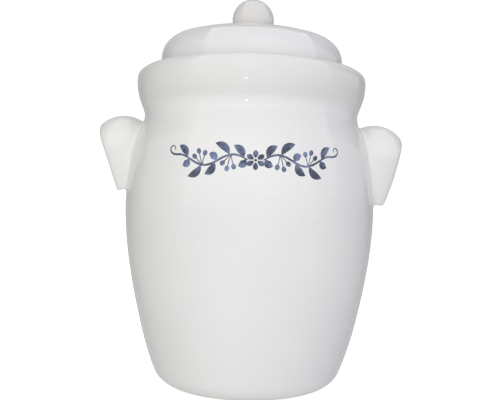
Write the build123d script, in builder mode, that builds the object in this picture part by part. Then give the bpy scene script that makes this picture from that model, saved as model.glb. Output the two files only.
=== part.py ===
from build123d import *
import os
from math import cos, radians, sin, sqrt

# A glazed stoneware rumtopf pot: a bellied pot with a water gutter round its mouth,
# a tall lid whose skirt stands in the gutter, and two hollow ears on the shoulder.
# Millimetres, +Z up, origin on the table in the middle of the foot ring, ears on X.

# Pot body, from its foot to its belly and up to the waist, where the gutter's floor lies
belly_radius = 105.0
belly_height = 150.0
shoulder_rise = 75.5
heel_radius = 79.2
heel_height = 12.0
foot_radius = 64.5
foot_ring_width = 9.0
foot_recess = 3.0
foot_edge_round = 1.0
body_wall = 7.5
floor_thickness = 8.0
floor_corner = 14.0
shoulder_web = 8.0
ceiling_corner = 9.0

# Inner neck, luted round the mouth
mouth_radius = 58.0
neck_wall = 7.0
neck_rise = 36.5
neck_edge_round = 2.5

# Gutter collar, luted on the waist, and the two gaps that the lid's skirt leaves in the gutter
inner_gap = 5.2
outer_gap = 5.4
lip_gap = 5.5
collar_wall = 8.0
collar_swell = 6.4
collar_swell_rise = 28.0
collar_rise = 41.1
lip_width = 3.1
lip_drop = 4.6

# Lid and its knob
lid_wall = 6.5
lid_rise = 75.0
lid_dome_rise = 11.5
lid_shoulder_round = 23.0
skirt_edge_round = 2.0
knob_radius = 17.65
knob_centre_rise = 8.2

# Ears: upright thimbles, cut open on the side that faces away from the pot
ear_radius = 28.0
ear_wall = 6.5
ear_rim_round = 3.0
left_ear_drop = 27.8
left_ear_stand_off = 8.4
left_ear_length = 33.4
left_ear_reach = 13.3
left_ear_lean = 18.4
right_ear_drop = 32.6
right_ear_stand_off = 4.8
right_ear_length = 37.6
right_ear_reach = 18.4
right_ear_lean = 17.6

level_within = 0.01

# Outline between named places: share of the way in radius, share of the way up
flank_shares = ((0.550, 0.348),)
shoulder_shares = ((0.260, 0.530), (0.512, 0.728), (0.891, 0.901))
collar_shares = ((0.490, 0.375),)
rim_shares = ((0.130, 0.560), (0.490, 0.830))
inner_swell_share = 0.77

# The most of a wall that the rounding of one of its edges may take
edge_round_share = 0.47

# Directions in which the outlines leave and arrive, as run and rise
foot_direction = (1, 0.3)
heel_direction = (0.42, 1)
upright = (0, 1)
downright = (0, -1)
inward = (-1, 0)


def between(start, end, shares):
    """Points between two corners of an outline, at shares of the way across and up."""
    return [
        (start[0] + across * (end[0] - start[0]), start[1] + up * (end[1] - start[1]))
        for across, up in shares
    ]


def edge_round(wanted, wall):
    """The rounding of a rim's edge, no larger than its wall leaves room for."""
    return min(wanted, edge_round_share * wall)


# What nests in the gutter, from the neck outwards: gap, skirt, gap, collar
skirt_radius = mouth_radius + neck_wall + inner_gap + lid_wall
waist_radius = skirt_radius + outer_gap + collar_wall
lip_radius = skirt_radius + lip_gap
waist_height = belly_height + shoulder_rise

heel = (heel_radius, heel_height)
belly = (belly_radius, belly_height)
waist = (waist_radius, waist_height)
flank_points = between(heel, belly, flank_shares)
shoulder_points = between(belly, waist, shoulder_shares)
swell = (waist_radius + collar_swell, waist_height + collar_swell_rise)
crest = (lip_radius + lip_width, waist_height + collar_rise)


def level_rings(part, level):
    """The level edges of a turned part at one height, from the smallest to the largest."""
    boxes = [(edge, edge.bounding_box()) for edge in part.edges()]
    rings = [
        edge for edge, box in boxes
        if box.size.Z < level_within and abs(box.max.Z - level) < level_within
    ]
    return ShapeList(rings).sort_by(SortBy.LENGTH)


def flank_line():
    """The pot's outside from heel to waist."""
    return Spline(
        heel, *flank_points, belly, *shoulder_points, waist,
        tangents=(heel_direction, upright),
    )


def collar_line():
    """The collar's outside from the waist to the crest of its rim."""
    lower_points = between(waist, swell, collar_shares)
    rim_points = between(swell, crest, rim_shares)
    return Spline(
        waist, *lower_points, swell, *rim_points, crest,
        tangents=(upright, inward),
    )


# Pot body: one section turned round the axis, open at the mouth
floor_top = foot_recess + floor_thickness
web_underside = waist_height - shoulder_web
cavity_points = [
    (heel_radius - body_wall, floor_top),
    *[(across - body_wall, up) for across, up in flank_points],
    (belly_radius - body_wall, belly_height),
    *[(across - body_wall, up) for across, up in shoulder_points[:-1]],
    (shoulder_points[-1][0] - body_wall, web_underside),
]
with BuildPart() as pot_body:
    with BuildSketch(Plane.XZ):
        with BuildLine():
            Spline((foot_radius, 0), heel, tangents=(foot_direction, heel_direction))
            flank_line()
            Polyline(waist, (mouth_radius, waist_height), (mouth_radius, web_underside), cavity_points[-1])
            Spline(*cavity_points)
            Polyline(
                cavity_points[0],
                (0, floor_top),
                (0, foot_recess),
                (foot_radius - foot_ring_width, foot_recess),
                (foot_radius - foot_ring_width, 0),
                (foot_radius, 0),
            )
        make_face()
    revolve(axis=Axis.Z)
    fillet(level_rings(pot_body, floor_top), floor_corner)
    fillet(level_rings(pot_body, web_underside)[-1], ceiling_corner)
    fillet(level_rings(pot_body, 0)[0], foot_edge_round)
pot_body.part.label = "pot_body"

# Everything inside the pot's outer skin, which the ears are cut back from
with BuildPart() as skin:
    with BuildSketch(Plane.XZ):
        with BuildLine():
            Spline((foot_radius, 0), heel, tangents=(foot_direction, heel_direction))
            flank_line()
            collar_line()
            Polyline(crest, (0, crest[1]), (0, 0), (foot_radius, 0))
        make_face()
    revolve(axis=Axis.Z)

# Gutter collar: an outer wall that swells, then leans in to a thick rim
inner_swell = (swell[0] - collar_wall, waist_height + inner_swell_share * collar_swell_rise)
collar_foot = (waist_radius - collar_wall, waist_height)
lip = (lip_radius, crest[1] - lip_drop)
with BuildPart() as gutter_collar:
    with BuildSketch(Plane.XZ):
        with BuildLine():
            collar_line()
            Spline(crest, lip, tangents=(inward, downright))
            Spline(lip, inner_swell, collar_foot, tangents=(downright, downright))
            Line(collar_foot, waist)
        make_face()
    revolve(axis=Axis.Z)
gutter_collar.part.label = "gutter_collar"

# Inner neck: a plain upright ring between the mouth and the gutter
with BuildPart() as inner_neck:
    with BuildSketch(Plane.XY.offset(waist_height)):
        Circle(mouth_radius + neck_wall)
        Circle(mouth_radius, mode=Mode.SUBTRACT)
    extrude(amount=neck_rise)
    fillet(inner_neck.faces().sort_by(Axis.Z)[-1].edges(), edge_round(neck_edge_round, neck_wall))
inner_neck.part.label = "inner_neck"

# Lid: a domed cap whose skirt stands on the gutter's floor, flat where the knob sits
lid_top = waist_height + lid_rise
dome_edge = lid_top - lid_dome_rise
knob_seat_radius = sqrt(knob_radius**2 - knob_centre_rise**2)


def domed_block(radius, drop, corner_round):
    """A solid domed cap: the whole lid, or its hollow, lower by the lid's wall."""
    edge = (radius, dome_edge - drop)
    seat = (knob_seat_radius, lid_top - drop)
    with BuildPart() as block:
        with BuildSketch(Plane.XZ):
            with BuildLine():
                Polyline(edge, (radius, waist_height), (0, waist_height), (0, lid_top - drop), seat)
                TangentArc(seat, edge, tangent=(1, 0))
            make_face()
        revolve(axis=Axis.Z)
        fillet(level_rings(block, dome_edge - drop), corner_round)
    return block.part


lid_block = domed_block(skirt_radius, 0, lid_shoulder_round)
lid_hollow = domed_block(skirt_radius - lid_wall, lid_wall, lid_shoulder_round - lid_wall)
with BuildPart() as lid_cap:
    add(lid_block)
    add(lid_hollow, mode=Mode.SUBTRACT)
    fillet(lid_cap.faces().sort_by(Axis.Z)[0].edges(), edge_round(skirt_edge_round, lid_wall))
lid_cap.part.label = "lid_cap"

# Knob: a ball bedded on the middle of the lid
with BuildPart() as lid_knob:
    with Locations((0, 0, lid_top + knob_centre_rise)):
        Sphere(knob_radius)
    split(bisect_by=Plane.XY.offset(lid_top), keep=Keep.TOP)
lid_knob.part.label = "lid_knob"


def skin_radius(level):
    """Radius of the pot's outside at one height."""
    with BuildLine() as outside:
        flank_line()
    return outside.edge().intersect(Axis((0, level, 0), (1, 0, 0)))[0].X


def make_ear(side, drop, stand_off, length, reach, lean):
    """A half thimble: a domed shell on the shoulder, open outwards and below."""
    level = waist_height - drop
    up = (side * sin(radians(lean)), 0, cos(radians(lean)))
    out = (side * cos(radians(lean)), 0, -sin(radians(lean)))
    centre = (side * (skin_radius(level) + stand_off), 0, level)
    middle = Plane(origin=centre, x_dir=out, z_dir=up)
    with BuildPart(middle) as shell:
        Sphere(ear_radius)
        Cylinder(ear_radius, length, align=(Align.CENTER, Align.CENTER, Align.MAX))
        Sphere(ear_radius - ear_wall, mode=Mode.SUBTRACT)
        Cylinder(
            ear_radius - ear_wall, length,
            align=(Align.CENTER, Align.CENTER, Align.MAX), mode=Mode.SUBTRACT,
        )
        mouth = Plane(origin=middle.from_local_coords((reach, 0, 0)), x_dir=up, z_dir=out)
        split(bisect_by=mouth, keep=Keep.BOTTOM)
        mouth_face = shell.faces().filter_by(mouth).sort_by(Axis(middle.origin, out))[-1]
        fillet(mouth_face.edges(), edge_round(ear_rim_round, ear_wall))
    with BuildPart() as ear:
        add(shell.part)
        add(skin.part, mode=Mode.SUBTRACT)
    return ear.part


left_ear = make_ear(
    -1, left_ear_drop, left_ear_stand_off, left_ear_length, left_ear_reach, left_ear_lean
)
left_ear.label = "left_ear"
right_ear = make_ear(
    1, right_ear_drop, right_ear_stand_off, right_ear_length, right_ear_reach, right_ear_lean
)
right_ear.label = "right_ear"

pieces = [
    pot_body.part, gutter_collar.part, inner_neck.part,
    lid_cap.part, lid_knob.part, left_ear, right_ear,
]
os.makedirs("parts", exist_ok=True)
for piece in pieces:
    export_step(piece, f"parts/{piece.label}.step")
    size = piece.bounding_box().size
    print(f"{piece.label}: {size.X:.1f} x {size.Y:.1f} x {size.Z:.1f} mm, {piece.volume / 1000:.0f} ml")
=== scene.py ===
# A white glazed stoneware pot with a gutter collar, a domed lid and two hollow ears.
# Shapes are worked out in millimetres, in the frame's own axes, and made in metres.
import math
import bpy
import numpy as np
from mathutils import Matrix, Vector


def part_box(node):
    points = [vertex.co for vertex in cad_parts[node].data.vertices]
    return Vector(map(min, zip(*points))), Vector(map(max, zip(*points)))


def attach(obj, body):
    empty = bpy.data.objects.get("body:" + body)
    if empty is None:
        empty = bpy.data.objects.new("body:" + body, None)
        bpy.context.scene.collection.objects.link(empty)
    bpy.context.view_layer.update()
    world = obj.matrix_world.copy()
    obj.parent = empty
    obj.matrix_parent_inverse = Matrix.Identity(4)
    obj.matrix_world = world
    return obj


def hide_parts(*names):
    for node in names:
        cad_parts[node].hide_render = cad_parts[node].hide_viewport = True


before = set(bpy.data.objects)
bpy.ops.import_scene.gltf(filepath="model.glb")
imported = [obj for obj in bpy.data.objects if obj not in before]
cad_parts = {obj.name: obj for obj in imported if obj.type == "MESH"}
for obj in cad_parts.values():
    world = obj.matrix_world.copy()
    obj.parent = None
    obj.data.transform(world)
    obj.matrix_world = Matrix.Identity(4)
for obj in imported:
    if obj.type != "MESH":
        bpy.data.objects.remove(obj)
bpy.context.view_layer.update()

MM = 0.001
TINY = 1e-6

# Sides of each turned piece, and the angle from which a bend in a mesh is a sharp edge
AROUND = 256
SHARP_ANGLE = math.radians(40)


def corners(node):
    """Lowest and highest corner of a CAD node, in millimetres."""
    low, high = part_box(node)
    return low / MM, high / MM


def highest(node):
    """Highest corner of a CAD node, in millimetres."""
    return corners(node)[1]


# Sizes that the frame gives
waist_height = highest("pot_body").z
crest_height = highest("gutter_collar").z
neck_radius = highest("inner_neck").x
neck_top = highest("inner_neck").z
skirt_radius = highest("lid_cap").x
lid_top = highest("lid_cap").z
knob_radius = highest("lid_knob").x
knob_level = highest("lid_knob").z - knob_radius

# Pot body
belly_radius = 105.0
belly_height = 150.0
waist_radius = 90.1
heel_radius = 79.2
heel_height = 12.0
foot_radius = 64.5
foot_ring_width = 9.0
foot_recess = 3.0
body_wall = 7.5
floor_thickness = 8.0
floor_top = foot_recess + floor_thickness
floor_corner = 14.0
web = 8.0
ceiling_corner = 9.0
mouth_round = 2.5

# Gutter collar and inner neck
swell_radius = 96.5
swell_rise = 28.0
collar_wall = 8.0
inner_swell_share = 0.77
crest_radius = 85.3
lip_gap = 5.5
lip_radius = skirt_radius + lip_gap
lip_drop = 4.6
gutter_fillet = 2.6
mouth_radius = 58.0
neck_round = 2.5

# Lid and knob
lid_wall = 6.5
lid_dome_rise = 11.5
lid_round = 23.0
skirt_round = 2.0
knob_fillet = 1.6

# Ears: drop of the ball's centre below the waist, its distance from the skin, and the cuts
ear_radius = 28.0
ear_wall = 6.5
ear_rim_round = 3.0
ear_root_fillet = 3.4
left_ear = {
    "side": -1, "drop": 27.8, "stand_off": 8.4, "length": 33.4, "reach": 13.3, "lean": 18.4,
    "end_round": 1.6, "bulge": 0.9, "bulge_up": 17.0, "bulge_half": 11.0,
}
right_ear = {
    "side": 1, "drop": 32.6, "stand_off": 4.8, "length": 37.6, "reach": 18.4, "lean": 17.6,
    "end_round": 4.6, "bulge": 1.1, "bulge_up": -15.0, "bulge_half": 16.0,
}

# Outline between named places: share of the way in radius, share of the way up
flank_shares = ((0.550, 0.348),)
shoulder_shares = ((0.260, 0.530), (0.512, 0.728), (0.891, 0.901))
collar_shares = ((0.490, 0.375),)
rim_shares = ((0.130, 0.560), (0.490, 0.830))

foot_direction = (1, 0.3)
heel_direction = (0.42, 1)
downright = (0, -1)
inward = (-1, 0)


# Lines

# Distances between an outline's points, from the longest flats to the smallest fillet
flat_step = 3.0
cavity_step = 2.2
wall_step = 1.5
flank_step = 1.4
gutter_step = 1.2
collar_step = 1.0
floor_step = 1.0
bend_step = 0.9
foot_step = 0.8
lip_step = 0.6
fillet_step = 0.5
edge_step = 0.4
knob_root_step = 0.3

# The closest that two lines' ends may lie and still be two points
same_place = 0.02


def between(start, end, shares):
    """Points between two corners, at shares of the way across and up."""
    return [
        (start[0] + across * (end[0] - start[0]), start[1] + up * (end[1] - start[1]))
        for across, up in shares
    ]


def evenly(points, spacing):
    """The same line, with its points a spacing apart."""
    points = np.array(points, float)
    run = np.concatenate(([0], np.cumsum(np.linalg.norm(np.diff(points, axis=0), axis=1))))
    count = max(2, round(run[-1] / spacing) + 1)
    along = np.linspace(0, run[-1], count)
    return np.column_stack([np.interp(along, run, column) for column in points.T])


def smooth_line(points, start=None, end=None, spacing=wall_step, fine=40):
    """A smooth line through a few points, which may leave and arrive in given directions."""
    points = np.array(points, float)
    steps = np.linalg.norm(np.diff(points, axis=0), axis=1)
    count = len(points)
    system = np.zeros((count, count))
    known = np.zeros_like(points)
    chords = np.diff(points, axis=0) / steps[:, None]
    for i in range(1, count - 1):
        system[i, i - 1 : i + 2] = 1 / steps[i - 1], 2 / steps[i - 1] + 2 / steps[i], 1 / steps[i]
        known[i] = 3 * (chords[i - 1] / steps[i - 1] + chords[i] / steps[i])
    for row, beside, chord, way in ((0, 1, chords[0], start), (-1, -2, chords[-1], end)):
        if way is None:
            system[row, row], system[row, beside] = 2, 1
            known[row] = 3 * chord
        else:
            system[row, row] = 1
            known[row] = np.array(way, float) / np.linalg.norm(way)
    slopes = np.linalg.solve(system, known)
    line = [points[:1]]
    t = np.linspace(0, 1, fine + 1)[1:, None]
    for i, step in enumerate(steps):
        line.append(
            (2 * t**3 - 3 * t**2 + 1) * points[i]
            + (t**3 - 2 * t**2 + t) * step * slopes[i]
            + (3 * t**2 - 2 * t**3) * points[i + 1]
            + (t**3 - t**2) * step * slopes[i + 1]
        )
    return evenly(np.concatenate(line), spacing)


def arc(centre, radius, start, end, spacing=bend_step):
    """Points on a round arc, from one angle to another, in degrees from straight out."""
    count = max(3, round(radius * math.radians(abs(end - start)) / spacing) + 1)
    angles = np.radians(np.linspace(start, end, count))
    return np.column_stack((centre[0] + radius * np.cos(angles), centre[1] + radius * np.sin(angles)))


def straight(start, end, spacing=flat_step):
    """Points on a straight run."""
    return evenly((start, end), spacing)


def joined(*lines):
    """One outline from lines that follow each other, each shared end kept once."""
    outline = [np.array(lines[0], float)]
    for line in lines[1:]:
        line = np.array(line, float)
        same = np.linalg.norm(line[0] - outline[-1][-1]) < same_place
        outline.append(line[1:] if same else line)
    return np.concatenate(outline)


# The pot's outside is one smooth line from the heel to the crest of the collar's rim
skin_step = 0.25
heel = (heel_radius, heel_height)
belly = (belly_radius, belly_height)
waist = (waist_radius, waist_height)
swell = (swell_radius, waist_height + swell_rise)
crest = (crest_radius, crest_height)
flank_points = between(heel, belly, flank_shares)
shoulder_points = between(belly, waist, shoulder_shares)
outside = smooth_line(
    [
        heel, *flank_points, belly, *shoulder_points, waist,
        *between(waist, swell, collar_shares), swell, *between(swell, crest, rim_shares), crest,
    ],
    start=heel_direction, end=inward, spacing=skin_step,
)
at_waist = int(np.argmin(np.hypot(outside[:, 0] - waist_radius, outside[:, 1] - waist_height)))
outside[at_waist] = waist


def domed_line(radius, drop, corner_round):
    """A domed cap's line from the axis down to its foot: the lid's outside or its hollow."""
    seat = math.sqrt(knob_radius**2 - (knob_level - lid_top) ** 2)
    top = lid_top - drop
    span = radius - seat
    dome_radius = (span**2 + lid_dome_rise**2) / (2 * lid_dome_rise)
    across = radius - corner_round - seat
    inner = dome_radius - corner_round
    corner = (radius - corner_round, top - dome_radius + math.sqrt(inner**2 - across**2))
    turn = math.degrees(math.acos(across / inner))
    return joined(
        straight((0, top), (seat, top), wall_step),
        arc((seat, top - dome_radius), dome_radius, 90, turn, wall_step),
        arc(corner, corner_round, turn, 0),
    )


def pot_outline():
    """Up the pot's outside to the waist, in to the mouth, and down its inside to the foot."""
    ring_radius = foot_radius - foot_ring_width
    web_level = waist_height - web
    cavity_points = [
        (shoulder_points[-1][0] - body_wall, web_level),
        *[(across - body_wall, up) for across, up in reversed(shoulder_points[:-1])],
        (belly_radius - body_wall, belly_height),
        *[(across - body_wall, up) for across, up in reversed(flank_points)],
        (heel_radius - body_wall, floor_top),
    ]
    mouth_bend = (mouth_radius + mouth_round, web_level + mouth_round)
    ceiling = straight((mouth_bend[0], web_level), cavity_points[0], floor_step)
    cavity = smooth_line(cavity_points, spacing=fillet_step)
    floor = straight(cavity_points[-1], (0, floor_top), floor_step)
    return joined(
        smooth_line([(foot_radius, 0), heel], foot_direction, heel_direction, foot_step),
        evenly(outside[: at_waist + 1], flank_step),
        straight(waist, (mouth_radius, waist_height)),
        straight((mouth_radius, waist_height), (mouth_radius, mouth_bend[1]), wall_step),
        arc(mouth_bend, mouth_round, 180, 270, lip_step),
        round_corner(round_corner(ceiling, cavity, ceiling_corner), floor, floor_corner),
        straight((0, foot_recess), (ring_radius, foot_recess)),
        straight((ring_radius, foot_recess), (ring_radius, 0), floor_step),
        straight((ring_radius, 0), (foot_radius, 0), wall_step),
    )


def collar_outline():
    """Up the collar's outside to its crest, over the lip, and down its inside into the gutter."""
    lip = (lip_radius, crest_height - lip_drop)
    inner_swell = (swell_radius - collar_wall, waist_height + inner_swell_share * swell_rise)
    foot = (waist_radius - collar_wall, waist_height + gutter_fillet)
    return joined(
        evenly(outside[at_waist:], collar_step),
        smooth_line([crest, lip], inward, downright, lip_step),
        smooth_line([lip, inner_swell, foot], downright, downright, gutter_step),
        arc((foot[0] - gutter_fillet, foot[1]), gutter_fillet, 0, -90, fillet_step),
        straight((foot[0] - gutter_fillet, waist_height), waist),
    )


def neck_outline():
    """Up the neck's outside from the gutter's fillet, over its rounded top, and down its inside."""
    fillet_level = waist_height + gutter_fillet
    round_level = neck_top - neck_round
    return joined(
        straight((mouth_radius, waist_height), (neck_radius + gutter_fillet, waist_height)),
        arc((neck_radius + gutter_fillet, fillet_level), gutter_fillet, 270, 180, fillet_step),
        straight((neck_radius, fillet_level), (neck_radius, round_level), wall_step),
        arc((neck_radius - neck_round, round_level), neck_round, 0, 90, edge_step),
        arc((mouth_radius + neck_round, round_level), neck_round, 90, 180, edge_step),
        straight((mouth_radius, round_level), (mouth_radius, waist_height), wall_step),
    )


def lid_outline():
    """Round the foot of the lid's skirt, up its outside to the axis, and back down its hollow."""
    hollow_radius = skirt_radius - lid_wall
    foot_level = waist_height + skirt_round
    outer = domed_line(skirt_radius, 0, lid_round)[::-1]
    inner = domed_line(hollow_radius, lid_wall, lid_round - lid_wall)
    return joined(
        arc((hollow_radius + skirt_round, foot_level), skirt_round, 180, 270, edge_step),
        arc((skirt_radius - skirt_round, foot_level), skirt_round, 270, 360, edge_step),
        straight((skirt_radius, foot_level), outer[0]),
        outer,
        inner,
        straight(inner[-1], (hollow_radius, foot_level)),
    )


def knob_outline():
    """Out along the knob's seat, round the fillet at its root, and over the ball to the axis."""
    reach = knob_radius + knob_fillet
    rise = knob_level - lid_top - knob_fillet
    root_radius = math.sqrt(reach**2 - rise**2)
    meeting = math.degrees(math.asin(-rise / reach))
    return joined(
        straight((0, lid_top), (root_radius, lid_top)),
        arc((root_radius, lid_top + knob_fillet), knob_fillet, -90, meeting - 180, knob_root_step),
        arc((0, knob_level), knob_radius, meeting, 90),
    )


def round_corner(first, second, radius, bend_points=16):
    """Two lines that meet in a corner, joined by a smooth bend that starts a radius before it."""
    run = np.linalg.norm(first - first[-1], axis=1)
    keep = first[run > radius]
    run = np.linalg.norm(second - second[0], axis=1)
    rest = second[run > radius]
    start, end, corner = keep[-1], rest[0], second[0]
    t = np.linspace(0, 1, bend_points)[1:-1, None]
    bend = (1 - t) ** 2 * start + 2 * t * (1 - t) * corner + t**2 * end
    return evenly(np.concatenate((keep, bend, rest)), cavity_step)


# The potter's hand: a warp in space that every piece shares

# The lid leans to the right and slumps at its shoulder, and its knob sits off the middle
lid_lean = 0.016
lean_levels = (waist_height + 14.5, waist_height + 52.5)
lid_slump = 0.6
slump_levels = (lid_top - 19.5, lid_top - 10.5)
slump_radii = (40.0, 62.0)
knob_shift = 0.5
knob_levels = (lid_top - 4.5, lid_top + 3.5)
past_lid = (skirt_radius + 0.3, skirt_radius + 1.2)

# The rim sags on the right, and rises in front and behind
rim_sag = 1.3
sag_start = -20.0
rim_lift = 1.6
lift_start = crest_height - 10.6

# The shoulder is tucked in under the collar, in front and behind
tuck_depth = 2.4
tuck_levels = (waist_height - 0.5, waist_height + 10.5, waist_height + 21.5)
tuck_radii = (waist_radius - 3.1, waist_radius - 0.1)
tuck_power = 6

# The body is a little oval and has the rings of throwing
body_levels = (waist_height - 0.5, waist_height + 19.5)
body_radii = (60.0, 80.0)
belly_oval = 0.16
oval_turn = 0.6
oval_levels = (10.0, 60.0)
throwing_wave = 0.035
throwing_pitch = 8.5
throwing_tilt = 1.3
throwing_beat = 31.0

# A shallow dent in the heel, at an angle round from the right
heel_dent = 0.9
dent_angle = -0.55
dent_spread = 0.5
dent_radii = (40.0, 70.0)
dent_start = (2.0, 12.0)
dent_end = (12.0, 62.0)


def fade(x, start, end):
    """A smooth step from nought to one."""
    t = np.clip((x - start) / (end - start), 0, 1)
    return t * t * (3 - 2 * t)


def warped(points):
    """Points of the true turned form, moved as the thrown and fired pot has them."""
    x, y, z = np.array(points, float).T
    radius = np.hypot(x, y)
    around = np.arctan2(y, x)
    on_body = (1 - fade(z, *body_levels)) * fade(radius, *body_radii)
    turn = 2 * math.pi * z / throwing_pitch + throwing_tilt * np.sin(around)
    rings = throwing_wave * np.sin(turn) * np.sin(z / throwing_beat)
    oval = belly_oval * (np.cos(2 * around + oval_turn) - 1) * fade(z, *oval_levels)
    dent = heel_dent * np.exp(-(((around - dent_angle) / dent_spread) ** 2)) * fade(radius, *dent_radii)
    dent *= fade(z, *dent_start) * (1 - fade(z, *dent_end))
    low, deepest, high = tuck_levels
    tuck = tuck_depth * fade(z, low, deepest) * (1 - fade(z, deepest, high)) * fade(radius, *tuck_radii)
    tuck *= 1 - (x / np.maximum(radius, 1)) ** tuck_power
    grow = ((rings + oval) * on_body - dent - tuck) / np.maximum(radius, 1)
    on_lid = 1 - fade(radius, *past_lid)
    lean = lid_lean * fade(z, *lean_levels) * x
    lean += lid_slump * fade(z, *slump_levels) * fade(radius, *slump_radii)
    sag = rim_sag * fade(z, lean_levels[0], crest_height) * fade(x, sag_start, swell_radius)
    sag -= rim_lift * fade(z, lift_start, crest_height) * (y / crest_radius) ** 2
    drop = on_lid * lean + (1 - on_lid) * sag
    shift = knob_shift * fade(z, *knob_levels)
    return np.column_stack((x * (1 + grow) + shift, y * (1 + grow), z - drop))


# Meshes

def make_object(name, points, faces, material, body, node=None):
    """A smooth-shaded piece from points in millimetres, riding on a body."""
    mesh = bpy.data.meshes.new(name)
    mesh.from_pydata((warped(points) * MM).tolist(), [], faces)
    mesh.polygons.foreach_set("use_smooth", [True] * len(mesh.polygons))
    mesh.set_sharp_from_angle(angle=SHARP_ANGLE)
    mesh.materials.append(material)
    piece = bpy.data.objects.new(name, mesh)
    bpy.context.scene.collection.objects.link(piece)
    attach(piece, body)
    if node:
        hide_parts(node)
    return piece


def turned_mesh(outline, around=AROUND):
    """Points and faces of an outline turned round the axis. Its points on the axis are poles."""
    angles = np.linspace(0, 2 * math.pi, around, endpoint=False)
    circle = np.column_stack((np.cos(angles), np.sin(angles)))
    points, rings = [], []
    for radius, height in outline:
        start = len(points)
        if radius < TINY:
            points.append((0, 0, height))
            rings.append([start])
        else:
            points.extend((radius * c, radius * s, height) for c, s in circle)
            rings.append(list(range(start, start + around)))
    faces = []
    for lower, upper in zip(rings, rings[1:] + rings[:1]):
        for i in range(around):
            j = (i + 1) % around
            if len(lower) > 1 and len(upper) > 1:
                faces.append((lower[i], lower[j], upper[j], upper[i]))
            elif len(lower) > 1:
                faces.append((lower[i], lower[j], upper[0]))
            elif len(upper) > 1:
                faces.append((lower[0], upper[j], upper[i]))
    return np.array(points, float), faces


skin_levels = outside[:, 1]
skin_radii = outside[:, 0]
skin_slopes = np.gradient(skin_radii, skin_levels)


def skin_distance(points):
    """Distance from the pot's outside, above nought in the open."""
    radius = np.hypot(points[:, 0], points[:, 1])
    slope = np.interp(points[:, 2], skin_levels, skin_slopes)
    return (radius - np.interp(points[:, 2], skin_levels, skin_radii)) / np.sqrt(1 + slope**2)


def smooth_union(first, second, reach):
    """The nearer of two distances, blended where they differ by less than the reach."""
    blend = np.clip(1 - np.abs(first - second) / reach, 0, 1)
    return np.minimum(first, second) - blend**3 * reach / 6


def smooth_meet(first, second, reach):
    """The further of two distances, blended in the same way."""
    return -smooth_union(-first, -second, reach)


# A blend's reach that rounds a square corner as a fillet of radius 1 does
REACH_PER_RADIUS = 1.76
flange_depth = 1.4
flange_sink = 0.004

# The ears' grid: the step between its points, and the room it leaves around an ear
ear_step = 0.8
ear_room = REACH_PER_RADIUS * ear_root_fillet + 2.0


def ear_frame(side, drop, stand_off, lean, **_):
    """Where an ear's ball sits, and the ear's own ways out, across and up."""
    level = waist_height - drop
    centre = np.array((side * (np.interp(level, skin_levels, skin_radii) + stand_off), 0, level))
    turn = math.radians(lean)
    out = np.array((side * math.cos(turn), 0, -math.sin(turn)))
    up = np.array((side * math.sin(turn), 0, math.cos(turn)))
    return centre, np.column_stack((out, np.cross(up, out), up))


def ear_shell(points, ear):
    """Distance from the thimble alone: a domed shell cut by its mouth and its lower end."""
    centre, axes = ear_frame(**ear)
    out, across, up = ((points - centre) @ axes).T
    radius = np.sqrt(out**2 + across**2 + np.maximum(up, 0) ** 2)
    rim = REACH_PER_RADIUS * ear_rim_round
    end = REACH_PER_RADIUS * ear["end_round"]
    bulge = ear["bulge"] * np.exp(-(((up - ear["bulge_up"]) / ear["bulge_half"]) ** 2))
    mouth = out - ear["reach"] - bulge
    tail = -up - ear["length"]
    outer = smooth_meet(smooth_meet(radius - ear_radius, mouth, rim), tail, end)
    hollow = smooth_meet(smooth_meet(ear_radius - ear_wall - radius, mouth, rim), tail, end)
    return np.maximum(outer, hollow)


def ear_distance(points, ear):
    """Distance from the ear with its root fillet, closed by a thin flange in the pot's wall."""
    reach = REACH_PER_RADIUS * ear_root_fillet
    shell = ear_shell(points, ear)
    skin = skin_distance(points)
    blended = smooth_union(shell, skin + flange_sink, reach)
    return np.maximum.reduce((blended, -flange_depth - skin, shell - reach))


def surface_net(distance, low, high, step):
    """Points and quads of the surface where a distance is nought, one point to each cell crossed."""
    axes = [np.arange(a, b + step, step) for a, b in zip(low, high)]
    grid = np.stack(np.meshgrid(*axes, indexing="ij"), axis=-1)
    values = distance(grid.reshape(-1, 3)).reshape(grid.shape[:3])
    inside = values < 0
    cells = tuple(n - 1 for n in values.shape)
    total = np.zeros(cells + (3,))
    crossings = np.zeros(cells)
    for axis in range(3):
        crossed = np.diff(inside.astype(np.int8), axis=axis) != 0
        first = np.take(values, range(values.shape[axis] - 1), axis=axis)
        second = np.take(values, range(1, values.shape[axis]), axis=axis)
        share = np.where(crossed, first / np.where(crossed, first - second, 1), 0)
        place = np.take(grid, range(values.shape[axis] - 1), axis=axis).copy()
        place[..., axis] += share * step
        others = [a for a in range(3) if a != axis]
        for i in (0, 1):
            for j in (0, 1):
                cut = [slice(None)] * 3
                cut[others[0]] = slice(i, i + cells[others[0]])
                cut[others[1]] = slice(j, j + cells[others[1]])
                hit = crossed[tuple(cut)]
                total += place[tuple(cut)] * hit[..., None]
                crossings += hit
    used = crossings > 0
    number = np.full(cells, -1)
    number[used] = np.arange(used.sum())
    points = total[used] / crossings[used][:, None]
    quads = []
    for axis in range(3):
        a, b = [k for k in range(3) if k != axis]
        crossed = np.argwhere(np.diff(inside.astype(np.int8), axis=axis) != 0)
        crossed = crossed[(crossed[:, a] > 0) & (crossed[:, b] > 0)]
        crossed = crossed[(crossed[:, a] < cells[a]) & (crossed[:, b] < cells[b])]
        leaving = inside[tuple(crossed.T)]
        corner = []
        for i, j in ((1, 1), (0, 1), (0, 0), (1, 0)):
            cell = crossed.copy()
            cell[:, a] -= i
            cell[:, b] -= j
            corner.append(number[tuple(cell.T)])
        quad = np.column_stack(corner)
        flip = leaving if axis == 1 else ~leaving
        quad[flip] = quad[flip][:, ::-1]
        quads.append(quad)
    return points, np.concatenate(quads)


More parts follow.
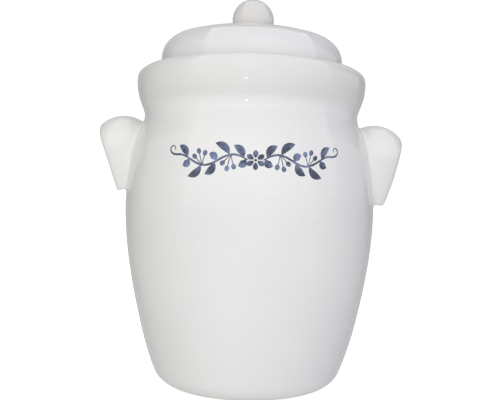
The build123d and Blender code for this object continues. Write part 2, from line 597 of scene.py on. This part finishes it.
def settled(points, distance, rounds=4, probe=0.02, least_slope=0.25, longest_move=0.4):
    """Points moved onto the surface where the distance is nought."""
    for _ in range(rounds):
        steps = np.eye(3) * probe
        slopes = [(distance(points + s) - distance(points - s)) / (2 * probe) for s in steps]
        slope = np.column_stack(slopes)
        size = np.maximum((slope**2).sum(axis=1), least_slope)
        move = -distance(points)[:, None] * slope / size[:, None]
        length = np.linalg.norm(move, axis=1, keepdims=True)
        points = points + move * np.minimum(1, longest_move / np.maximum(length, TINY))
    return points


def make_ear(name, ear, material):
    """One ear with the fillet of slip that seats it on the shoulder."""
    low, high = corners(name)
    low, high = np.array(low) - ear_room, np.array(high) + ear_room
    points, quads = surface_net(lambda p: ear_distance(p, ear), low, high, ear_step)
    points = settled(points, lambda p: ear_distance(p, ear))
    return make_object(name + "_glazed", points, quads.tolist(), material, "pot", name)


# Painted garland: thin strokes of cobalt that lie on the shoulder's skin

garland_level = 187.0
garland_middle = 4.0
stroke_height = 0.04
stroke_sink = 0.03
stroke_depth = 0.3
stroke_step = 0.5
layer_rise = 0.006

# A stroke's section: shares of its half width, and its height at the shoulder as a share of its crown
across_shares = np.array((-1, -0.8, -0.45, 0, 0.45, 0.8, 1))
shoulder_share = 0.6


def on_skin(along, level, height):
    """Points on the pot's outside: distance round it from the front, level, and height over it."""
    along, level, height = (np.asarray(v, float) for v in np.broadcast_arrays(along, level, height))
    radius = np.interp(level, skin_levels, skin_radii)
    slope = np.interp(level, skin_levels, skin_slopes)
    length = np.sqrt(1 + slope**2)
    angle = along / radius
    out = radius + height / length
    up = level - height * slope / length
    return np.column_stack((out * np.sin(angle), -out * np.cos(angle), up))


def stroke(points, widths, layer):
    """One brush stroke along a smooth line, its widths spread evenly along it.

    Its points come with their faces and how near each lies to the stroke's middle.
    """
    line = smooth_line(points, spacing=stroke_step)
    count = len(line)
    width = np.interp(np.linspace(0, 1, count), np.linspace(0, 1, len(widths)), widths)
    way = np.gradient(line, axis=0)
    way /= np.linalg.norm(way, axis=1, keepdims=True)
    side = np.column_stack((-way[:, 1], way[:, 0]))
    crown = stroke_height + layer * layer_rise
    shoulder = shoulder_share * crown
    heights = (-stroke_sink, shoulder, crown, crown, crown, shoulder, -stroke_sink)
    top, bottom = [], []
    for share, height in zip(across_shares, heights):
        place = line + side * (width / 2 * share)[:, None]
        top.append(on_skin(place[:, 0], place[:, 1], height))
        bottom.append(on_skin(place[:, 0], place[:, 1], -stroke_depth))
    columns = len(across_shares)
    under = count * columns
    faces = []
    for i in range(count - 1):
        for j in range(columns - 1):
            a, b = i * columns + j, i * columns + j + 1
            c, d = b + columns, a + columns
            faces.append((a, d, c, b))
            faces.append((under + a, under + b, under + c, under + d))
        left, right = i * columns, (i + 1) * columns - 1
        faces.append((left, under + left, under + left + columns, left + columns))
        faces.append((right, right + columns, under + right + columns, under + right))
    for j in range(columns - 1):
        last = (count - 1) * columns + j
        faces.append((j, j + 1, under + j + 1, under + j))
        faces.append((last, under + last, under + last + 1, last + 1))
    points = np.concatenate([np.stack(rows, axis=1).reshape(-1, 3) for rows in (top, bottom)])
    middle = np.tile(1 - across_shares**2, count * 2)
    return points, faces, middle


# The garland's wavy stem, in distances from its middle and from its level
stem_start = 5.6
stem_end = 62.5
stem_wave = 4.0
half_wave = 22.0
stem_points = 15
crest_count = 3
curl_steps = ((3.7, 0.7), (6.2, 3.5), (4.6, 6.5), (1.9, 5.8), (1.8, 3.6))
stem_widths = (0.8, 1.9, 1.6, 2.0, 1.6, 1.9, 1.5, 1.8, 1.4, 0.8)

# Its leaves, placed from each crest: distance along, side, turn from level and length
leaf_places = ((-8.2, 1, 50, 12.0), (2.4, 1, 38, 14.0), (-9.6, -1, 42, 7.8))
leaf_widths = (0.6, 3.5, 5.5, 6.3, 5.7, 3.7, 0.4)
leaf_bow = 0.15
leaf_root = 0.4

# Its sprigs of three berries, in the hollow of each wave
sprig_place = 1.4
sprig_turn = 73.0
sprig_fan = 29.0
sprig_reach = 7.4
sprig_middle = 1.6
stalk_bow = (0.3, 0)
stalk_widths = (0.8, 0.8, 0.9)
berry_tuck = 0.3
berry_widths = (1.7, 3.6, 4.0, 3.6, 1.7)
berry_length = 3.8

# Its blossom
petal_count = 6
petal_from = 1.7
petal_to = 7.3
petal_widths = (0.9, 3.2, 4.5, 4.1, 1.1)
eye_widths = (0.9, 2.4, 0.9)
eye_half = 1.2


def heading(degrees):
    """A unit step in a direction, from straight along towards up."""
    turn = math.radians(degrees)
    return np.array((math.cos(turn), math.sin(turn)))


def stem_point(x):
    """A place on the wavy stem."""
    return np.array((x, stem_wave * math.sin(math.pi * (x - stem_start) / half_wave)))


def leaf(start, turn, side, length):
    """The line of a leaf that springs from the stem and bows over."""
    way = heading(side * turn)
    bow = side * leaf_bow * length * heading(side * turn + 90)
    return [start + leaf_root * way, start + length / 2 * way + bow, start + length * way]


def sprig(start, side):
    """Three berries on stalks: each stroke's line, widths and layer."""
    strokes = []
    for fan in (-1, 0, 1):
        way = heading(side * (sprig_turn + fan * sprig_fan))
        tip = start + (sprig_reach + (sprig_middle if fan == 0 else 0)) * way
        strokes.append(([start, (start + tip) / 2 + stalk_bow, tip], stalk_widths, 1))
        strokes.append(([tip - berry_tuck * way, tip + berry_length * way], berry_widths, 3))
    return strokes


def garland_strokes():
    """A blossom with a leafy, berried stem to each side: each stroke's line, widths and layer."""
    stem = [stem_point(x) for x in np.linspace(stem_start, stem_end, stem_points)]
    half = [(stem + [stem[-1] + np.array(step) for step in curl_steps], stem_widths, 0)]
    for i in range(crest_count):
        crest_x = stem_start + (i + 0.5) * half_wave
        crest_side = -1 if i % 2 else 1
        whole = crest_x < stem_end - half_wave / 2
        for along, side, turn, length in leaf_places:
            if whole or along < 0:
                side = side * crest_side
                half.append((leaf(stem_point(crest_x + along), turn, side, length), leaf_widths, 2))
        if whole:
            half += sprig(stem_point(crest_x + sprig_place), -crest_side)
    strokes = []
    for side in (1, -1):
        strokes += [([(side * x, y) for x, y in line], widths, layer) for line, widths, layer in half]
    for i in range(petal_count):
        way = heading(360 * (i + 0.5) / petal_count)
        strokes.append(([petal_from * way, petal_to * way], petal_widths, 1))
    strokes.append(([(-eye_half, 0), (eye_half, 0)], eye_widths, 2))
    return strokes


def make_garland(material):
    """The garland as one piece of closed strokes."""
    points, faces, middles = [], [], []
    count = 0
    for line, widths, layer in garland_strokes():
        line = np.array(line, float) + (garland_middle, garland_level)
        more, quads, middle = stroke(line, widths, layer)
        points.append(more)
        middles.append(middle)
        faces.extend(tuple(count + i for i in quad) for quad in quads)
        count += len(more)
    piece = make_object("painted_garland", np.concatenate(points), faces, material, "pot")
    pooled = piece.data.attributes.new("pooled", "FLOAT", "POINT")
    pooled.data.foreach_set("value", np.concatenate(middles).astype(np.float32))
    return piece


# Materials

def new_material(name):
    """A node material, with its nodes, links and shader."""
    material = bpy.data.materials.new(name)
    material.use_nodes = True
    nodes, links = material.node_tree.nodes, material.node_tree.links
    shader = nodes["Principled BSDF"]
    return material, nodes, links, shader


def noise(nodes, links, where, scale, detail=2.0, roughness=0.5):
    """A noise texture, its scale in waves to a metre."""
    node = nodes.new("ShaderNodeTexNoise")
    node.inputs["Scale"].default_value = scale
    node.inputs["Detail"].default_value = detail
    node.inputs["Roughness"].default_value = roughness
    links.new(where, node.inputs["Vector"])
    return node.outputs["Fac"]


def spread(nodes, links, value, low, high, to_low=0.0, to_high=1.0):
    """A value stretched from one range to another, and held within it."""
    node = nodes.new("ShaderNodeMapRange")
    node.inputs["From Min"].default_value = low
    node.inputs["From Max"].default_value = high
    node.inputs["To Min"].default_value = to_low
    node.inputs["To Max"].default_value = to_high
    links.new(value, node.inputs["Value"])
    return node.outputs["Result"]


def mixed(nodes, links, share, first, second):
    """Two colours mixed by a share."""
    node = nodes.new("ShaderNodeMix")
    node.data_type = "RGBA"
    links.new(share, node.inputs["Factor"])
    for socket, colour in ((node.inputs["A"], first), (node.inputs["B"], second)):
        if isinstance(colour, tuple):
            socket.default_value = (*colour, 1.0)
        else:
            links.new(colour, socket)
    return node.outputs["Result"]


def bumped(nodes, links, height, distance, strength=1.0, before=None):
    """A bump of a height in metres, on top of another."""
    node = nodes.new("ShaderNodeBump")
    node.inputs["Strength"].default_value = strength
    node.inputs["Distance"].default_value = distance
    links.new(height, node.inputs["Height"])
    if before is not None:
        links.new(before, node.inputs["Normal"])
    return node.outputs["Normal"]


# Tones of the glaze, each as two colours that cloud into each other, and that of its pinholes
white_tone = ((0.842, 0.836, 0.822), (0.813, 0.808, 0.801))
# A greyer tone that paints shade over the collar, from above the waist up to under its crest
collar_painted_shade_tone = ((0.787, 0.782, 0.760), (0.757, 0.752, 0.738))
lid_tone = ((0.812, 0.808, 0.810), (0.790, 0.785, 0.790))
ear_tone = ((0.868, 0.862, 0.840), (0.845, 0.840, 0.815))
knob_tone = ((0.770, 0.757, 0.732), (0.735, 0.724, 0.702))
pit_tone = (0.58, 0.55, 0.50)

# Where one tone hands over to the next, from the height of the waist, the crest or the lid's top. Over
# the waist a greyer tone paints the shade of the collar's underside.
painted_shade_over_waist = (7.0, 12.0)
# Under the crest the white tone comes back: painted light on the collar's rim
painted_light_under_crest = (-8.0, -2.0)
# On the lid the white tone stays up to this handover: painted light on the lid's foot over the gutter
lid_foot_painted_light = (3.0, 13.0)
knob_over_lid = (0.0, 3.0)

body_ior = 1.46
rich_ior = 1.70
body_rough = (0.06, 0.13)
ear_rough = (0.15, 0.26)

# Waves to a metre of the glaze's clouds, gloss and pinholes, and the range of the noise that each uses
cloud_scale = 14.0
cloud_range = (0.35, 0.65)
gloss_scale = 60.0
gloss_range = (0.3, 0.7)
pit_scale = 900.0
pit_range = (0.88, 0.92)

# Its relief: waves to a metre, detail, height in metres and strength
swelling = (28.0, 1.0, 0.0010, 0.35)
running = (75.0, 1.0, 0.0004, 0.30)
peeling = (330.0, 2.0, 0.00006, 0.5)
run_stretch = (1.0, 1.0, 0.2)


def relief(nodes, links, place, waves, before=None):
    """A bump of noise, on top of another."""
    scale, detail, distance, strength = waves
    return bumped(nodes, links, noise(nodes, links, place, scale, detail), distance, strength, before)


def glaze(name, tone, handovers=(), ior=body_ior, rough=body_rough):
    """White glaze over pale stoneware: glossy, faintly uneven, with rare pinholes.

    Each handover is a level, the two rises from it that a tone takes over between, and that tone.
    """
    material, nodes, links, shader = new_material(name)
    place = nodes.new("ShaderNodeTexCoord").outputs["Object"]
    cloud = spread(nodes, links, noise(nodes, links, place, cloud_scale, 3.0), *cloud_range)
    colour = mixed(nodes, links, cloud, *tone)
    height = nodes.new("ShaderNodeSeparateXYZ")
    links.new(place, height.inputs[0])
    for level, rises, next_tone in handovers:
        start, end = ((level + rise) * MM for rise in rises)
        above = spread(nodes, links, height.outputs["Z"], start, end)
        colour = mixed(nodes, links, above, colour, mixed(nodes, links, cloud, *next_tone))
    pits = spread(nodes, links, noise(nodes, links, place, pit_scale, 0.0), *pit_range)
    colour = mixed(nodes, links, pits, colour, pit_tone)
    links.new(colour, shader.inputs["Base Color"])
    gloss = spread(nodes, links, noise(nodes, links, place, gloss_scale), *gloss_range, *rough)
    links.new(gloss, shader.inputs["Roughness"])
    shader.inputs["IOR"].default_value = ior
    upright_place = nodes.new("ShaderNodeVectorMath")
    upright_place.operation = "MULTIPLY"
    upright_place.inputs[1].default_value = run_stretch
    links.new(place, upright_place.inputs[0])
    swell_bump = relief(nodes, links, place, swelling)
    run_bump = relief(nodes, links, upright_place.outputs[0], running, swell_bump)
    links.new(relief(nodes, links, place, peeling, run_bump), shader.inputs["Normal"])
    return material


clay_tones = ((0.60, 0.53, 0.43), (0.52, 0.45, 0.36))
clay_scale = 60.0
clay_rough = 0.85
grit_tone = (0.30, 0.25, 0.20)
grit_scale = 1500.0
grit_range = (0.62, 0.75)
grit_height = 0.0003


def bare_clay():
    """Unglazed, sintered stoneware on the foot ring."""
    material, nodes, links, shader = new_material("bare_stoneware")
    place = nodes.new("ShaderNodeTexCoord").outputs["Object"]
    grit = noise(nodes, links, place, grit_scale, 3.0)
    cloud = spread(nodes, links, noise(nodes, links, place, clay_scale), *cloud_range)
    colour = mixed(nodes, links, cloud, *clay_tones)
    colour = mixed(nodes, links, spread(nodes, links, grit, *grit_range), colour, grit_tone)
    links.new(colour, shader.inputs["Base Color"])
    shader.inputs["Roughness"].default_value = clay_rough
    links.new(bumped(nodes, links, grit, grit_height, 0.6), shader.inputs["Normal"])
    return material


slate_tone = (0.040, 0.048, 0.085)
wash_tone = (0.185, 0.245, 0.42)
edge_tone = (0.055, 0.065, 0.13)
wash_scale = 95.0
wash_range = (0.42, 0.66)
edge_range = (0.0, 0.5)
edge_strength = 0.55
paint_rough = 0.10
paint_ior = 1.52


def cobalt_paint():
    """Cobalt painted under the glaze: washed blue where it is thin, slate where it pools and at edges."""
    material, nodes, links, shader = new_material("cobalt_under_glaze")
    place = nodes.new("ShaderNodeTexCoord").outputs["Object"]
    wash = spread(nodes, links, noise(nodes, links, place, wash_scale, 3.0, 0.6), *wash_range)
    colour = mixed(nodes, links, wash, slate_tone, wash_tone)
    pooled = nodes.new("ShaderNodeAttribute")
    pooled.attribute_name = "pooled"
    edge = spread(nodes, links, pooled.outputs["Fac"], *edge_range, edge_strength, 0.0)
    colour = mixed(nodes, links, edge, colour, edge_tone)
    links.new(colour, shader.inputs["Base Color"])
    shader.inputs["Roughness"].default_value = paint_rough
    shader.inputs["IOR"].default_value = paint_ior
    return material


# Stage, lights and camera

def stage_plane(name, size, material):
    """A level square in the middle of the stage."""
    mesh = bpy.data.meshes.new(name)
    half = size / 2
    square = [(-half, -half, 0), (half, -half, 0), (half, half, 0), (-half, half, 0)]
    mesh.from_pydata(square, [], [(0, 1, 2, 3)])
    mesh.materials.append(material)
    plane = bpy.data.objects.new(name, mesh)
    bpy.context.scene.collection.objects.link(plane)
    return plane


def soft_box(name, place, target, size, power):
    """A square area light that faces a point."""
    light = bpy.data.lights.new(name, "AREA")
    light.shape = "SQUARE"
    light.size = size
    light.energy = power
    lamp = bpy.data.objects.new(name, light)
    lamp.location = place
    lamp.rotation_mode = "QUATERNION"
    lamp.rotation_quaternion = (Vector(target) - Vector(place)).to_track_quat("-Z", "Y")
    bpy.context.scene.collection.objects.link(lamp)
    return lamp


# The photograph's camera, fitted to the pot's outline
camera_place = (0.00037, -0.6858, 0.1709)
camera_dip = math.radians(1.283)
camera_roll = math.radians(0.983)
focal_pixels = 799.5
frame_pixels = 500
sensor = 36.0
nearest_seen = 0.01
furthest_seen = 50.0


def make_camera():
    """The camera at the photograph's place, dip and roll."""
    data = bpy.data.cameras.new("camera")
    data.sensor_width = sensor
    data.lens = focal_pixels / frame_pixels * sensor
    data.clip_start, data.clip_end = nearest_seen, furthest_seen
    camera = bpy.data.objects.new("camera", data)
    level = Matrix.Rotation(math.radians(90) - camera_dip, 4, "X")
    camera.matrix_world = Matrix.Translation(camera_place) @ level @ Matrix.Rotation(camera_roll, 4, "Z")
    bpy.context.scene.collection.objects.link(camera)
    bpy.context.scene.camera = camera


# The room's light: what comes from everywhere, what grows towards each side, and its two tints
room_glow = 0.18
room_sides = {"front": 0.26, "back": 0.0, "left": 0.08, "right": 0.06, "above": 0.32, "below": 0.60}
room_left = (1.0, 0.995, 0.955)
room_right = (0.965, 0.970, 1.050)

# Soft panes of light before and behind the pot: where each starts and ends from left to right,
# then from below to above, in degrees from straight in front or straight behind, and its glow
front_panes = {
    "wide": (-60, 84, 2, 122, 0.78),
    "left_streak": (-60, -49, 2, 122, 0.30),
    "right_bar": (74, 84, 2, 122, 0.30),
    "left_wall": (-115, -60, 2, 60, 0.30),
    "right_wall": (84, 130, 2, 60, 0.42),
}
back_panes = {"back_wall": (-32, 32, -30, 40, 0.21)}

# How softly a pane ends, and at its foot, and the share of its glow that spills as soft light
pane_edge = 0.01
pane_foot = 0.11
pane_spill = 0.45


def combined(nodes, links, operation, *values):
    """Values put together one by one by an operation. A plain number counts as a value."""
    total = values[0]
    for value in values[1:]:
        node = nodes.new("ShaderNodeMath")
        node.operation = operation
        for socket, part in zip(node.inputs, (total, value)):
            if isinstance(part, (int, float)):
                socket.default_value = part
            else:
                links.new(part, socket)
        total = node.outputs[0]
    return total


def make_world():
    """A soft room, bright in front and from below, and cooler on the right, with soft panes.

    The panes show whole in the gloss, and spill only a share of their glow as soft light.
    Each of their edges lies at the tangent of half its angle, as on a stereographic map.
    """
    world = bpy.data.worlds.new("studio")
    bpy.context.scene.world = world
    world.use_nodes = True
    nodes, links = world.node_tree.nodes, world.node_tree.links
    way = nodes.new("ShaderNodeSeparateXYZ")
    links.new(nodes.new("ShaderNodeTexCoord").outputs["Generated"], way.inputs[0])
    x, y, z = way.outputs
    left, front, below = (combined(nodes, links, "MULTIPLY", part, -1.0) for part in (x, y, z))
    total = room_glow
    parts = {"front": front, "back": y, "left": left, "right": x, "above": z, "below": below}
    for side, part in parts.items():
        part = combined(nodes, links, "MAXIMUM", part, 0.0)
        part = combined(nodes, links, "MULTIPLY", part, room_sides[side])
        total = combined(nodes, links, "ADD", total, part)
    glossy = nodes.new("ShaderNodeLightPath").outputs["Is Glossy Ray"]
    spill = spread(nodes, links, glossy, 0, 1, pane_spill, 1)
    for panes, ahead in ((front_panes, front), (back_panes, y)):
        depth = combined(nodes, links, "ADD", ahead, 1.0)
        across, up = (combined(nodes, links, "DIVIDE", part, depth) for part in (x, z))
        for start, end, low, high, glow in panes.values():
            pane = combined(nodes, links, "MULTIPLY", glow, spill)
            sides = (
                (across, start, pane_edge), (across, end, -pane_edge),
                (up, low, pane_foot), (up, high, -pane_edge),
            )
            for value, at, soft in sides:
                edge = math.tan(math.radians(at) / 2)
                share = spread(nodes, links, value, edge - soft, edge + soft)
                pane = combined(nodes, links, "MULTIPLY", pane, share)
            total = combined(nodes, links, "ADD", total, pane)
    links.new(total, nodes["Background"].inputs["Strength"])
    tint = mixed(nodes, links, spread(nodes, links, x, -1, 1), room_left, room_right)
    links.new(tint, nodes["Background"].inputs["Color"])


floor_size = 6.0
floor_grey = 0.85
floor_rough = 0.9
floor_glow = 0.62
backdrop_radius = 4.0
backdrop_glow = 1.05


def glowing(name, grey, glow):
    """A plain grey that also glows white by itself, for what lies around the pot."""
    material, _, _, shader = new_material(name)
    shader.inputs["Base Color"].default_value = (grey, grey, grey, 1)
    shader.inputs["Roughness"].default_value = floor_rough
    shader.inputs["Emission Color"].default_value = (1, 1, 1, 1)
    shader.inputs["Emission Strength"].default_value = glow
    return material


def make_stage():
    """The pale floor, and a white ball round everything. Neither lights the pot or shows in its gloss."""
    floor = stage_plane("pale_floor", floor_size, glowing("pale_floor", floor_grey, floor_glow))
    floor.visible_diffuse = floor.visible_glossy = False
    bpy.ops.mesh.primitive_uv_sphere_add(segments=48, ring_count=24, radius=backdrop_radius)
    backdrop = bpy.context.object
    backdrop.name = "white_backdrop"
    backdrop.data.materials.append(glowing("white_backdrop", 0, backdrop_glow))
    backdrop.visible_diffuse = backdrop.visible_glossy = backdrop.visible_shadow = False
    backdrop.visible_transmission = False


# A fill from behind for the far side, and the camera's flash with the glint of it on the collar
back_strength = 1.4
back_softness = math.radians(30)
back_tilt = math.radians(-82)
lit_middle = (0, 0, 0.17)
flash_place = (-0.056, -0.70, 0.165)
flash_size = 0.05
flash_power = 1.05
glint_ahead = 0.01
glint_size = 0.011
glint_power = 0.12


def make_lights(glinting):
    """A fill from behind, and the flash: its soft part, and a glint that only the collar shows."""
    sun = bpy.data.lights.new("back_fill", "SUN")
    sun.energy = back_strength
    sun.angle = back_softness
    lamp = bpy.data.objects.new("back_fill", sun)
    lamp.rotation_euler = (back_tilt, 0, 0)
    lamp.visible_glossy = False
    bpy.context.scene.collection.objects.link(lamp)
    flash = soft_box("flash", flash_place, lit_middle, flash_size, flash_power)
    flash.visible_glossy = False
    glint_place = Vector(flash_place) + Vector((0, glint_ahead, 0))
    glint = soft_box("glint", glint_place, lit_middle, glint_size, glint_power)
    lit = bpy.data.collections.new("glinting")
    for piece in glinting:
        lit.objects.link(piece)
    glint.light_linking.receiver_collection = lit


# Build

# The body's tones: painted shade on the collar over the waist, then painted light on the rim under the
# crest
body_tones = ((waist_height, painted_shade_over_waist, collar_painted_shade_tone), (crest_height, painted_light_under_crest, white_tone))
# The lid's white foot is painted light; the lid's own tone takes over higher up
lid_tones = ((crest_height, lid_foot_painted_light, lid_tone),)
knob_tones = ((lid_top, knob_over_lid, knob_tone),)
white_glaze = glaze("white_glaze", white_tone, body_tones)
lid_glaze = glaze("white_glaze_lid", white_tone, lid_tones, rich_ior)
ear_glaze = glaze("white_glaze_ears", ear_tone, (), rich_ior, ear_rough)
knob_glaze = glaze("white_glaze_knob", lid_tone, knob_tones, rich_ior)

turned = {
    "pot_body": ("pot_glazed", "pot", white_glaze, pot_outline()),
    "gutter_collar": ("collar_glazed", "pot", white_glaze, collar_outline()),
    "inner_neck": ("neck_glazed", "pot", white_glaze, neck_outline()),
    "lid_cap": ("lid_glazed", "lid", lid_glaze, lid_outline()),
    "lid_knob": ("knob_glazed", "lid", knob_glaze, knob_outline()),
}
made = {}
for node, (name, body, material, outline) in turned.items():
    made[node] = make_object(name, *turned_mesh(outline), material, body, node)

# The clay is bare up to this level, from just inside the foot ring to the start of the heel
bare_level = 1.6
bare_from = foot_radius - foot_ring_width - 0.5
bare_to = foot_radius + 3.2


def bare_foot(piece, clay):
    """Gives the faces of a piece that touch the table, or stand bare in the kiln, to the clay."""
    piece.data.materials.append(clay)
    for face in piece.data.polygons:
        x, y, z = face.center / MM
        if z < bare_level and bare_from < math.hypot(x, y) < bare_to:
            face.material_index = 1


bare_foot(made["pot_body"], bare_clay())
make_ear("left_ear", left_ear, ear_glaze)
make_ear("right_ear", right_ear, ear_glaze)
make_garland(cobalt_paint())

make_world()
make_stage()
make_lights([made["gutter_collar"]])
make_camera()
bpy.context.scene.view_settings.view_transform = "Standard"
bpy.context.scene.cycles.use_denoising = True
